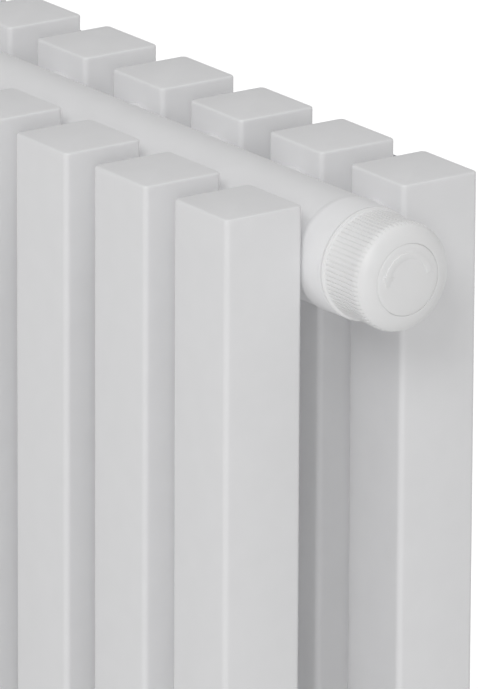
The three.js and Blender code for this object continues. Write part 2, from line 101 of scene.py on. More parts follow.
def strength(name, description, default):
    """A light's strength or power."""
    return bpy.props.FloatProperty(name=name, description=description, default=default, min=0)


def slide(name, description, default_mm):
    """A distance in millimetres that may be negative."""
    return bpy.props.FloatProperty(
        name=name, description=description, default=default_mm * MM, unit="LENGTH", precision=5
    )


def direction(name, description, default):
    """A direction from the valve end to a light."""
    return bpy.props.FloatVectorProperty(name=name, description=description, default=default)


class RadiatorBankSizes(bpy.types.PropertyGroup):
    """Sizes of the tubes, their caps and the manifolds"""

    corner_radius: length("Corner radius", "Outer radius of a tube's long corners", 2.0)
    top_edge: length("Top edge", "Rounding of a cap's top edge after grinding and coating", 0.8)
    foot_edge: length("Foot edge", "Rounding of a tube's foot", 0.8)
    wall: length("Wall", "Wall of a square tube", 1.5)
    cap_plate: length("Cap plate", "Thickness of a cap, above its spigot", 2.0)
    port_bore: length("Port bore", "Radius of a boss's thread at its crests", 10.4)
    weld_foot: length("Weld foot", "Radius of the weld where a saddle meets its tube", 12.4)
    weld_neck: length("Weld neck", "Radius of the weld where a saddle meets the manifold", 10.2)
    pipe_wall: length("Pipe wall", "Wall of a manifold", 2.0)
    bead_height: length("Bead height", "How far the weld behind a boss stands out", 0.35)
    bead_width: length("Bead width", "Width of the weld behind a boss", 3.6)
    thread_pitch: length("Thread pitch", "Pitch of the half-inch pipe thread", 1.814)
    thread_depth: length("Thread depth", "Depth of the thread's grooves", 0.6)


class RadiatorKnobSizes(bpy.types.PropertyGroup):
    """Sizes of the hand knob"""

    ribs: bpy.props.IntProperty(name="Ribs", description="Grip ribs round the band", default=68, min=12)
    groove_depth: length("Groove depth", "Depth of the grooves between the ribs", 0.35)
    waist: length("Waist", "How far the band draws in at its middle", 0.2)
    lip: length("Lip", "Length of the smooth lip at the knob's rear", 0.8)
    lip_height: length("Lip height", "How far the lip stands out of the band", 0.95)
    nose: length("Nose", "Length of the smooth nose in front of the ribs", 5.2)
    rib_runout: length("Rib run-out", "How far the grooves run on into the nose", 1.2)
    nose_height: length("Nose height", "How far the nose stands out of the band", 0.44)
    dome_depth: length("Dome depth", "Depth of the rounded dome", 7.5)
    dome_power: bpy.props.FloatProperty(
        name="Dome power", description="2 for an ellipse, more for a fuller dome", default=3.0, min=2
    )
    wall: length("Wall", "Wall of the moulding, ribs included", 2.15)
    front_wall: length("Front wall", "Wall behind the round cover", 2.4)
    hub: length("Hub", "Radius of the hub round the spindle's square", 5.5)
    screw_hole: length("Screw hole", "Radius of the hole for the screw's shank", 1.7)
    screw_head: length("Screw head", "Height of the screw's head", 1.6)
    head_hole: length("Head hole", "Radius of the recess for the screw's head", 3.05)
    cover_gap: length("Cover gap", "Gap round the cover", 0.06)
    arrow_height: length("Arrow height", "How far the turning arrow stands out of the cover", 0.3)


class RadiatorValveSizes(bpy.types.PropertyGroup):
    """Sizes of the vent valve and the plug, measured outwards from the manifold's end face"""

    flange_rear: length("Flange rear", "Rear face of a flange, past its seal", 1.8)
    flange_front: length("Flange front", "Front face of the valve's flange", 5.3)
    shank_radius: length("Shank radius", "Radius of the half-inch thread on the valve and the plug", 10.1)
    neck_radius: length("Neck radius", "Radius of the neck's thread", 8.0)
    seat_depth: length("Seat depth", "How far in the valve's seat lies", 8.0)
    chamber_radius: length("Chamber radius", "Bore that the spindle screws into", 4.6)
    inlet_radius: length("Inlet radius", "Bore behind the seat", 2.0)
    outlet_radius: length("Outlet radius", "Hole that the air leaves by", 0.9)
    stem_radius: length("Stem radius", "Radius of the spindle's stem", 3.0)
    stem_thread_rear: length("Stem thread rear", "Where the spindle's thread starts", 6.725)
    stem_thread_length: length("Stem thread length", "Length of the spindle's thread", 2.7)
    fine_pitch: length("Fine pitch", "Pitch of the fine threads", 0.75)
    fine_depth: length("Fine depth", "Depth of the fine threads", 0.35)
    socket_flats: length("Socket flats", "Across the flats of the plug's socket", 12.0)
    socket_depth: length("Socket depth", "Depth of the plug's socket", 8.0)


class RadiatorBracketSizes(bpy.types.PropertyGroup):
    """Sizes of the wall brackets and their rubber liners"""

    arm_thickness: length("Arm thickness", "Thickness of the arm and its saddle", 5.0)
    plate_thickness: length("Plate thickness", "Thickness of a wall plate", 3.0)
    plate_corner: length("Plate corner", "Radius of a wall plate's corners", 4.0)
    screw_radius: length("Screw hole radius", "Radius of a wall plate's holes", 2.75)
    screw_inset: length("Screw hole inset", "From a hole's middle to the plate's end", 6.0)
    saddle_radius: length("Saddle radius", "Inner radius of the saddles", 21.1)
    saddle_rim: length("Saddle rim", "Depth of the hook's saddle", 6.0)
    weld_leg: length("Weld leg", "Leg of the weld between arm and plate", 2.0)
    liner_inner: length("Liner inner radius", "Radius that rests on the manifold", 19.3)
    liner_bed: length("Liner bed radius", "Radius of the liner's slot floor", 20.8)
    liner_rim: length("Liner rim radius", "Radius of the liner's flanges", 23.8)
    hook_angle: degrees("Hook angle", "Half the hook's spread", 70)
    hook_liner_angle: degrees("Hook liner angle", "Half the hook liner's spread", 68)
    rest_liner_angle: degrees("Rest liner angle", "Half the lower liner's spread", 22)
    hook_arm_start: length("Hook arm start", "Hook arm's start, behind the manifold's axis", 18)
    rest_arm_start: length("Rest arm start", "Stand-off arm's start, behind the manifold's axis", 18.965)
    rest_arm_half: length("Rest arm half height", "Half the stand-off arm's height", 10)


class RadiatorFinishes(bpy.types.PropertyGroup):
    """Colours of the finishes"""

    powder: colour("Powder coat", "Satin white polyester powder coat", "#F3F3F4")
    plastic: colour("Knob plastic", "Moulded white ABS", "#F5F5F5")
    brass: colour("Brass", "Machined brass", "#C9A861")
    zinc: colour("Zinc", "Clear-passivated zinc plate", "#BFC3C8")
    rubber: colour("Rubber", "Black EPDM rubber", "#232324")
    floor: colour("Floor", "Pale studio floor", "#F4F4F4")


class RadiatorStageSettings(bpy.types.PropertyGroup):
    """Camera and light"""

    azimuth: degrees("Azimuth", "Camera's turn from the front", 54.95)
    elevation: degrees("Elevation", "Camera's height angle", 17.39)
    roll: degrees("Roll", "Camera's tilt", -0.265)
    lens: bpy.props.FloatProperty(name="Lens", description="Focal length in mm", default=519.94, min=1)
    distance: length("Distance", "From the camera to the first section", 3204.5)
    shift_right: slide("Shift right", "Camera's slide to its right", -28.16)
    shift_up: slide("Shift up", "Camera's slide upwards", -51.43)
    floor_size: length("Floor size", "Side of the square floor", 14000)
    ambient: strength("Ambient", "Strength of the even light", 0.4)
    floor_glow: strength("Floor glow", "Light given off by the floor behind the radiator", 0.64)
    glow_start: length("Glow start", "Where the floor's glow starts, behind the radiator's middle", 500)
    glow_full: length("Glow full", "Where the floor's glow is at its full strength", 1000)
    key_power: strength("Key power", "Watts of the key softbox", 39)
    key_size: length("Key size", "Side of the key softbox", 1300)
    key_distance: length("Key distance", "From the valve end to the key and fill softboxes", 4000)
    key_direction: direction("Key direction", "From the valve end to the key softbox", (0.9, -1.1, 1))
    fill_power: strength("Fill power", "Watts of the fill softbox", 16)
    fill_size: length("Fill size", "Side of the fill softbox", 900)
    fill_direction: direction("Fill direction", "From the valve end to the fill softbox", (0.8, -0.56, 0.22))
    overhead_power: strength("Overhead power", "Watts of the overhead softbox", 15)
    overhead_size: length("Overhead size", "Side of the overhead softbox", 3000)
    overhead_height: length("Overhead height", "Height of the overhead softbox", 3600)


# ---- Modelling helpers ----


def clear_selection():
    """Leaves edit mode and deselects every object."""
    if bpy.context.object and bpy.context.object.mode != "OBJECT":
        bpy.ops.object.mode_set(mode="OBJECT")
    bpy.ops.object.select_all(action="DESELECT")


def take(piece):
    """Makes a piece the only selected object, and the active one."""
    clear_selection()
    piece.select_set(True)
    bpy.context.view_layer.objects.active = piece


def name_new(name):
    """Names the primitive just added and moves its place and size into its mesh."""
    piece = bpy.context.object
    piece.name = name
    piece.data.name = name
    bpy.ops.object.transform_apply(location=True, rotation=True, scale=True)
    return piece


def block(name, low, high):
    """A box between two corners."""
    clear_selection()
    low, high = Vector(low), Vector(high)
    bpy.ops.mesh.primitive_cube_add(size=1, location=(low + high) / 2, scale=high - low)
    return name_new(name)


def rod(name, start, end, radius, sides=64, end_radius=None):
    """A round bar between two points, or a regular prism when it has few sides."""
    clear_selection()
    start, end = Vector(start), Vector(end)
    along = end - start
    bpy.ops.mesh.primitive_cone_add(
        vertices=sides,
        radius1=radius,
        radius2=radius if end_radius is None else end_radius,
        depth=along.length,
        location=(start + end) / 2,
        rotation=along.to_track_quat("Z", "Y").to_euler(),
    )
    return name_new(name)


def open_for_editing(piece, kind, test):
    """Opens a piece in edit mode with only the faces or edges that pass the test selected.

    A face's test takes its centre and normal; an edge's takes its two ends.
    """
    take(piece)
    mesh = piece.data
    for part in (mesh.vertices, mesh.edges, mesh.polygons):
        part.foreach_set("select", [False] * len(part))
    if kind == "FACE":
        for face in mesh.polygons:
            face.select = test(face.center, face.normal)
    else:
        for edge in mesh.edges:
            ends = [mesh.vertices[i].co for i in edge.vertices]
            edge.select = test(*ends)
    bpy.context.tool_settings.mesh_select_mode = (False, kind == "EDGE", kind == "FACE")
    bpy.ops.object.mode_set(mode="EDIT")


def close_editing():
    """Goes back to object mode."""
    bpy.ops.object.mode_set(mode="OBJECT")


def round_edges(piece, width, segments, test):
    """Bevels the edges that pass the test."""
    open_for_editing(piece, "EDGE", test)
    bpy.ops.mesh.bevel(offset=width, segments=segments, profile=0.5)
    close_editing()


def apply_modifier(piece, kind, **settings):
    """Adds a modifier with its settings and applies it."""
    take(piece)
    modifier = piece.modifiers.new(kind.title(), kind)
    for key, value in settings.items():
        setattr(modifier, key, value)
    bpy.ops.object.modifier_apply(modifier=modifier.name)


def soften(piece, width, segments=2, angle=35):
    """Rounds every edge sharper than an angle in degrees."""
    apply_modifier(
        piece,
        "BEVEL",
        width=width,
        segments=segments,
        limit_method="ANGLE",
        angle_limit=math.radians(angle),
        use_clamp_overlap=True,
    )


def combine(piece, other, operation):
    """Joins another piece to this one or cuts it away, and uses it up."""
    apply_modifier(piece, "BOOLEAN", operation=operation, object=other, solver="EXACT")
    bpy.data.objects.remove(other)


def tidy_normals(piece):
    """Merges doubles and turns every face outwards."""
    take(piece)
    bpy.ops.object.mode_set(mode="EDIT")
    bpy.ops.mesh.select_all(action="SELECT")
    bpy.ops.mesh.remove_doubles(threshold=1e-6)
    bpy.ops.mesh.normals_make_consistent(inside=False)
    close_editing()


def lathe(name, outline, axis_z, steps=96):
    """A round piece about a valve or manifold axis.

    The outline lists (x, radius) points and closes on itself, or starts and ends at radius 0.
    It is drawn point by point from a single vertex, then spun.
    """
    clear_selection()
    points = [Vector((x, VALVE_AXIS_Y, axis_z + radius)) for x, radius in outline]
    bpy.ops.mesh.primitive_plane_add(size=MM, location=points[0])
    piece = name_new(name)
    bpy.context.tool_settings.mesh_select_mode = (True, False, False)
    bpy.ops.object.mode_set(mode="EDIT")
    bpy.ops.mesh.select_all(action="SELECT")
    bpy.ops.mesh.merge(type="CENTER")
    closed = min(outline[0][1], outline[-1][1]) > 0
    for start, end in zip(points, points[1:] + points[:1] if closed else points[1:]):
        bpy.ops.mesh.extrude_region_move(TRANSFORM_OT_translate={"value": end - start})
    bpy.ops.mesh.select_all(action="SELECT")
    bpy.ops.mesh.remove_doubles(threshold=1e-6)
    bpy.ops.mesh.spin(
        steps=steps, angle=FULL_TURN, center=(0, VALVE_AXIS_Y, axis_z), axis=(1, 0, 0)
    )
    close_editing()
    tidy_normals(piece)
    return piece


def hexagon(name, start_x, end_x, flats_radius, axis_z=UPPER_AXIS_Z):
    """A hexagonal bar along X with corners up and down, its ends turned to a chamfer."""
    corner_radius = flats_radius / math.cos(math.pi / 6)
    start = Vector((start_x, VALVE_AXIS_Y, axis_z))
    end = Vector((end_x, VALVE_AXIS_Y, axis_z))
    overshoot = Vector((MM, 0, 0))
    bar = rod(name, start - overshoot, end + overshoot, corner_radius, 6)
    slope = (corner_radius - 0.98 * flats_radius) / 2
    barrel = [
        (start_x, 0),
        (start_x, 0.98 * flats_radius),
        (start_x + slope, corner_radius + 0.05 * MM),
        (end_x - slope, corner_radius + 0.05 * MM),
        (end_x, 0.98 * flats_radius),
        (end_x, 0),
    ]
    combine(bar, lathe("chamfer_barrel", barrel, axis_z, 64), "INTERSECT")
    return bar


def bore(piece, outline, sides=48, axis_z=UPPER_AXIS_Z):
    """Cuts a hole along X on a manifold's axis, stepped as its (x, radius) outline says."""
    closed = [(outline[0][0], 0), *outline, (outline[-1][0], 0)]
    combine(piece, lathe("drill", closed, axis_z, sides), "DIFFERENCE")


def keep_sector(piece, axis_z, middle, half):
    """Slices a ring down to the wedge about an angle, which starts at +Y and turns to +Z."""
    take(piece)
    bpy.ops.object.mode_set(mode="EDIT")
    for side in (1, -1):
        angle = middle + side * (half + math.pi / 2)
        bpy.ops.mesh.select_all(action="SELECT")
        bpy.ops.mesh.bisect(
            plane_co=(0, VALVE_AXIS_Y, axis_z),
            plane_no=(0, math.cos(angle), math.sin(angle)),
            use_fill=True,
            clear_outer=True,
        )
    close_editing()
    tidy_normals(piece)


def copy_of(piece, name, place=None):
    """A copy with its own mesh, moved or turned by a matrix that goes into the mesh."""
    twin = piece.copy()
    twin.data = piece.data.copy()
    twin.name = name
    twin.data.name = name
    bpy.context.scene.collection.objects.link(twin)
    if place is not None:
        twin.data.transform(place)
    return twin


def body_of(node):
    """The moving or fixed body that a node belongs to."""
    bodies = frame["record"]["behaviour"]["bodies"]
    return next(body for body, nodes in bodies.items() if node in nodes)


def put_in_place(piece, node, material, smooth=32):
    """Gives a finished piece its material and shading, and lets it stand for its frame node."""
    piece.data.materials.clear()
    piece.data.materials.append(material)
    take(piece)
    bpy.ops.object.shade_smooth_by_angle(angle=math.radians(smooth))
    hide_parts(node)
    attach(piece, body_of(node))


def add_node(tree, kind, settings=None, links=None):
    """Adds a shader node; settings go to its sockets or fields, links feed its sockets."""
    node = tree.nodes.new(kind)
    for key, value in (settings or {}).items():
        if key in node.inputs:
            node.inputs[key].default_value = value
        else:
            setattr(node, key, value)
    for key, source in (links or {}).items():
        tree.links.new(source, node.inputs[key])
    return node


def new_material(name, settings):
    """A material with one Principled shader, and the Object coordinates its patterns read."""
    material = bpy.data.materials.new(name)
    material.use_nodes = True
    tree = material.node_tree
    shader = tree.nodes["Principled BSDF"]
    for key, value in settings.items():
        shader.inputs[key].default_value = value
    place = add_node(tree, "ShaderNodeTexCoord").outputs["Object"]
    return material, tree, shader, place


def noise(tree, place, feature_mm, detail=2.0, roughness=0.5):
    """Noise whose blobs are about one feature size across."""
    settings = {"Scale": 1 / (feature_mm * MM), "Detail": detail, "Roughness": roughness}
    return add_node(tree, "ShaderNodeTexNoise", settings, {"Vector": place}).outputs["Fac"]


def spread(tree, source, low, high):
    """Maps the middle of a noise to a range."""
    settings = {"From Min": 0.3, "From Max": 0.7, "To Min": low, "To Max": high}
    return add_node(tree, "ShaderNodeMapRange", settings, {"Value": source}).outputs["Result"]


def bump(tree, height, depth_mm, below=None):
    """Bump of a real depth; below is the bump that it lies on."""
    links = {"Height": height}
    if below is not None:
        links["Normal"] = below
    settings = {"Strength": 1.0, "Distance": depth_mm * MM}
    return add_node(tree, "ShaderNodeBump", settings, links).outputs["Normal"]


def shaded(tree, base, source, darkest):
    """The base colour, a little darker where the source is low."""
    factor = spread(tree, source, 0.0, 1.0)
    dark = tuple(channel * darkest for channel in base) + (1,)
    mix = add_node(tree, "ShaderNodeMix", {"data_type": "RGBA"})
    mix.inputs[6].default_value = dark
    mix.inputs[7].default_value = tuple(base) + (1,)
    tree.links.new(factor, mix.inputs[0])
    return mix.outputs[2]


def powder_coat(finishes):
    """Polyester powder coat, satin: baked paint, so an even white with a faint orange peel."""
    base = tuple(finishes.powder)
    settings = {"Base Color": (*base, 1), "Roughness": 0.42, "IOR": 1.5}
    material, tree, shader, place = new_material("polyester_powder_coat_satin_white", settings)
    peel = noise(tree, place, 1.6, detail=1.0)
    flow = noise(tree, place, 9.0, detail=1.0)
    tree.links.new(shaded(tree, base, flow, 0.985), shader.inputs["Base Color"])
    tree.links.new(spread(tree, flow, 0.40, 0.46), shader.inputs["Roughness"])
    tree.links.new(bump(tree, peel, 0.006, bump(tree, flow, 0.012)), shader.inputs["Normal"])
    return material


def knob_plastic(finishes):
    """Injection-moulded ABS from a finely eroded mould: soft sheen, faint grain."""
    base = tuple(finishes.plastic)
    settings = {
        "Base Color": (*base, 1),
        "Roughness": 0.4,
        "IOR": 1.53,
        "Subsurface Weight": 0.06,
        "Subsurface Scale": 0.6 * MM,
        "Subsurface Radius": (1.0, 0.95, 0.9),
    }
    material, tree, shader, place = new_material("moulded_abs_white", settings)
    grain = noise(tree, place, 0.35, detail=2.0)
    cloud = noise(tree, place, 6.0, detail=1.0)
    tree.links.new(shaded(tree, base, cloud, 0.99), shader.inputs["Base Color"])
    tree.links.new(spread(tree, grain, 0.36, 0.46), shader.inputs["Roughness"])
    tree.links.new(bump(tree, grain, 0.004), shader.inputs["Normal"])
    return material


def machined_brass(finishes):
    """Free-cutting brass, turned: warm metal with fine rings from the lathe tool."""
    base = tuple(finishes.brass)
    settings = {"Base Color": (*base, 1), "Metallic": 1.0, "Roughness": 0.28}
    material, tree, shader, place = new_material("turned_brass", settings)
    rings_settings = {"bands_direction": "X", "Scale": 1 / (1.2 * MM), "Distortion": 0.4, "Detail": 1.0}
    rings = add_node(tree, "ShaderNodeTexWave", rings_settings, {"Vector": place}).outputs["Fac"]
    stain = noise(tree, place, 3.5, detail=2.0)
    tree.links.new(shaded(tree, base, stain, 0.86), shader.inputs["Base Color"])
    tree.links.new(spread(tree, stain, 0.24, 0.36), shader.inputs["Roughness"])
    tree.links.new(bump(tree, rings, 0.01), shader.inputs["Normal"])
    return material


def zinc_plate(finishes):
    """Zinc-plated steel, clear passivated: cool grey metal with a soft crystalline mottle."""
    base = tuple(finishes.zinc)
    settings = {"Base Color": (*base, 1), "Metallic": 1.0, "Roughness": 0.34}
    material, tree, shader, place = new_material("zinc_plated_steel", settings)
    spangle_settings = {"Scale": 1 / (1.6 * MM), "feature": "F1"}
    spangle = add_node(tree, "ShaderNodeTexVoronoi", spangle_settings, {"Vector": place}).outputs["Distance"]
    cloud = noise(tree, place, 5.0, detail=3.0)
    tree.links.new(shaded(tree, base, cloud, 0.84), shader.inputs["Base Color"])
    tree.links.new(spread(tree, cloud, 0.28, 0.42), shader.inputs["Roughness"])
    tree.links.new(bump(tree, spangle, 0.006), shader.inputs["Normal"])
    return material


def seal_rubber(finishes):
    """Black EPDM rubber, moulded: dull, with a fine dusty bloom."""
    base = tuple(finishes.rubber)
    settings = {"Base Color": (*base, 1), "Roughness": 0.72, "IOR": 1.5}
    material, tree, shader, place = new_material("moulded_epdm_black", settings)
    bloom = noise(tree, place, 2.2, detail=3.0)
    tree.links.new(shaded(tree, base, bloom, 0.7), shader.inputs["Base Color"])
    tree.links.new(spread(tree, bloom, 0.64, 0.8), shader.inputs["Roughness"])
    tree.links.new(bump(tree, noise(tree, place, 0.5), 0.01), shader.inputs["Normal"])
    return material


MATERIAL_MAKERS = {
    "powder_coat": powder_coat,
    "knob_plastic": knob_plastic,
    "brass": machined_brass,
    "zinc_steel": zinc_plate,
    "seal_rubber": seal_rubber,
}
materials = {}


def material_for(slot):
    """The material of a record slot, made once."""
    if slot not in materials:
        materials[slot] = MATERIAL_MAKERS[slot](bpy.context.scene.radiator_finishes)
    return materials[slot]


def finish(piece, node, slot, smooth=32):
    """Puts a piece in place in the finish of its record slot."""
    put_in_place(piece, node, material_for(slot), smooth)


# ---- Tube bank ----


def tube_outline(name, low, high, sizes):
    """A block with a square tube's rounded long corners."""
    piece = block(name, low, high)
    round_edges(piece, sizes.corner_radius, 6, lambda a, b: abs(a.z - b.z) > abs(low[2] - high[2]) / 2)
    return piece


class RADIATOR_OT_add_tubes(bpy.types.Operator):
    """Adds the square tubes of both rows, with the welds that join them to the manifolds"""

    bl_idname = "radiator.add_tubes"
    bl_label = "Add Tubes"

    def execute(self, context):
        sizes = context.scene.radiator_bank
        cap_low, cap_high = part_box("front_cap_1")
        tube_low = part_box("front_tube_1")[0]
        cap_underside = cap_high.z - sizes.cap_plate
        low = (cap_low.x, cap_low.y, tube_low.z)
        high = (cap_high.x, cap_high.y, cap_underside)
        tube = tube_outline("square_tube", low, high, sizes)
        round_edges(tube, sizes.foot_edge, 3, lambda a, b: max(a.z, b.z) < tube_low.z + MM / 10)
        open_for_editing(tube, "FACE", lambda centre, normal: normal.z > 0.9)
        bpy.ops.mesh.inset(thickness=sizes.wall)
        depth = tube_low.z + sizes.wall - cap_underside
        bpy.ops.mesh.extrude_region_move(TRANSFORM_OT_translate={"value": (0, 0, depth)})
        close_editing()
        middle_x = (cap_low.x + cap_high.x) / 2
        manifold_radius = VALVE_AXIS_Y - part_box("lower_manifold")[0].y
        for axis_z in (LOWER_AXIS_Z, UPPER_AXIS_Z):
            root = (middle_x, cap_high.y - sizes.wall / 2, axis_z)
            reach = (middle_x, VALVE_AXIS_Y, axis_z)
            saddle = rod("weld_saddle", root, reach, sizes.weld_foot, 48, sizes.weld_neck)
            left = (cap_low.x - 10 * MM, VALVE_AXIS_Y, axis_z)
            right = (cap_high.x + 10 * MM, VALVE_AXIS_Y, axis_z)
            combine(saddle, rod("manifold_cut", left, right, manifold_radius, 128), "DIFFERENCE")
            combine(tube, saddle, "UNION")
        half_turn = Matrix.Rotation(math.pi, 4, "Z")
        axis_x = Matrix.Translation((middle_x, VALVE_AXIS_Y, 0))
        turn_to_back = axis_x @ half_turn @ axis_x.inverted()
        for row, turn in (("front", Matrix.Identity(4)), ("back", turn_to_back)):
            for section in range(1, SECTIONS + 1):
                node = f"{row}_tube_{section}"
                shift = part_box(f"{row}_cap_{section}")[0].x - cap_low.x
                piece = copy_of(tube, f"finished_{node}", Matrix.Translation((shift, 0, 0)) @ turn)
                finish(piece, node, "powder_coat")
        bpy.data.objects.remove(tube)
        return {"FINISHED"}


class RADIATOR_OT_add_caps(bpy.types.Operator):
    """Adds the welded plate on top of each tube, with its spigot"""

    bl_idname = "radiator.add_caps"
    bl_label = "Add Caps"

    def execute(self, context):
        sizes = context.scene.radiator_bank
        low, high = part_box("front_cap_1")
        underside = high.z - sizes.cap_plate
        cap = tube_outline("tube_cap", (low.x, low.y, underside), high, sizes)
        round_edges(cap, sizes.top_edge, 4, lambda a, b: min(a.z, b.z) > high.z - MM / 10)
        open_for_editing(cap, "FACE", lambda centre, normal: normal.z < -0.9)
        bpy.ops.mesh.inset(thickness=sizes.wall + JOINT_GAP)
        bpy.ops.mesh.extrude_region_move(TRANSFORM_OT_translate={"value": (0, 0, low.z - underside)})
        close_editing()
        for row in ("front", "back"):
            for section in range(1, SECTIONS + 1):
                node = f"{row}_cap_{section}"
                place = Matrix.Translation(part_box(node)[0] - low)
                finish(copy_of(cap, f"finished_{node}", place), node, "powder_coat")
        bpy.data.objects.remove(cap)
        return {"FINISHED"}


def thread_outline(start, end, crest, root, pitch):
    """(x, radius) points of a thread drawn as rings, from start to end."""
    turns = max(1, int(abs(end - start) / pitch))
    step = (end - start) / turns
    points = [(start, crest)]
    for turn in range(turns):
        x = start + turn * step
        points += [(x + 0.5 * step, root), (x + step, crest)]
    return points


class RADIATOR_OT_add_manifolds(bpy.types.Operator):
    """Adds the two manifold pipes"""

    bl_idname = "radiator.add_manifolds"
    bl_label = "Add Manifolds"

    def execute(self, context):
        sizes = context.scene.radiator_bank
        for level in ("upper", "lower"):
            node = f"{level}_manifold"
            low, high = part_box(node)
            radius = (high.z - low.z) / 2
            inner = radius - sizes.pipe_wall
            middle_z = (low.z + high.z) / 2
            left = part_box(f"{level}_boss_left")[1].x
            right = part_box(f"{level}_boss_right")[0].x
            outline = [(left, inner), (left, radius), (right, radius), (right, inner)]
            pipe = lathe(f"finished_{node}", outline, middle_z, 128)
            finish(pipe, node, "powder_coat")
        return {"FINISHED"}


class RADIATOR_OT_add_bosses(bpy.types.Operator):
    """Adds the threaded bosses welded to the four manifold ends"""

    bl_idname = "radiator.add_bosses"
    bl_label = "Add Bosses"

    def execute(self, context):
        sizes = context.scene.radiator_bank
        low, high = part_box("lower_boss_right")
        radius = (high.z - low.z) / 2
        crest = sizes.port_bore
        outer_chamfer, mouth_chamfer = 0.5 * MM, 1.2 * MM
        bead = [
            (low.x, radius),
            (low.x + 0.15 * sizes.bead_width, radius + 0.7 * sizes.bead_height),
            (low.x + 0.5 * sizes.bead_width, radius + sizes.bead_height),
            (low.x + 0.85 * sizes.bead_width, radius + 0.7 * sizes.bead_height),
            (low.x + sizes.bead_width, radius),
        ]
        thread = thread_outline(
            high.x - mouth_chamfer, low.x, crest, crest - sizes.thread_depth, sizes.thread_pitch
        )
        outline = bead + [
            (high.x - outer_chamfer, radius),
            (high.x - 0.3 * outer_chamfer, radius - 0.3 * outer_chamfer),
            (high.x, radius - outer_chamfer),
            (high.x, crest + mouth_chamfer),
        ]
        boss = lathe("boss", outline + thread, LOWER_AXIS_Z, 96)
        middle_x = (LEFT_END + RIGHT_END) / 2
        swap_ends = Matrix.Translation((middle_x, VALVE_AXIS_Y, 0)) @ Matrix.Rotation(math.pi, 4, "Z")
        swap_ends = swap_ends @ Matrix.Translation((-middle_x, -VALVE_AXIS_Y, 0))
        for level, axis_z in (("upper", UPPER_AXIS_Z), ("lower", LOWER_AXIS_Z)):
            for end, turn in (("right", Matrix.Identity(4)), ("left", swap_ends)):
                node = f"{level}_boss_{end}"
                place = Matrix.Translation((0, 0, axis_z - LOWER_AXIS_Z)) @ turn
                finish(copy_of(boss, f"finished_{node}", place), node, "powder_coat")
        bpy.data.objects.remove(boss)
        return {"FINISHED"}


# ---- Knob ----


def dome_x(sizes, radius):
    """X of the knob's dome at a distance from its axis."""
    low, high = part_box("knob")
    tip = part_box("knob_cover")[1].x
    full = (high.z - low.z) / 2 - sizes.lip_height + sizes.nose_height
    share = (radius / full) ** sizes.dome_power
    return tip - sizes.dome_depth * (1 - (1 - share) ** (1 / sizes.dome_power))


def knob_outline(sizes, recess):
    """(x, radius) points of the knob's outside, from its rear to the recess in its dome.

    Also gives where the ribbed band starts and ends.
    """
    low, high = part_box("knob")
    lip = (high.z - low.z) / 2
    band = lip - sizes.lip_height
    full = band + sizes.nose_height
    rear = low.x
    lip_front = rear + sizes.lip
    outline = [(rear, lip - 0.3 * MM), (rear + 0.1 * MM, lip - 0.08 * MM), (rear + 0.3 * MM, lip)]
    outline += [(lip_front - 0.25 * MM, lip), (lip_front - 0.06 * MM, lip - 0.1 * MM)]
    outline += [(lip_front, lip - 0.3 * MM), (lip_front + 0.12 * MM, band + 0.1 * MM)]
    band_start = lip_front + 0.4 * MM
    band_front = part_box("knob_cover")[1].x - sizes.nose
    dome_share = 1 - sizes.nose / sizes.dome_depth
    rear_turn = math.asin(dome_share ** (sizes.dome_power / 2))
    front_radius = full * math.cos(rear_turn) ** (2 / sizes.dome_power)
    steps = 12
    for i in range(steps):
        along = i / steps
        straight = band + (front_radius - band) * along
        x = band_start + (band_front - band_start) * along
        outline.append((x, straight - sizes.waist * math.sin(math.pi * along) ** 2))
    recess_turn = math.acos((recess / full) ** (sizes.dome_power / 2))
    steps = 14
    for i in range(steps + 1):
        turn = rear_turn + (recess_turn - rear_turn) * i / steps
        radius = full * math.cos(turn) ** (2 / sizes.dome_power)
        outline.append((dome_x(sizes, radius), radius))
    return outline, band_start, band_front


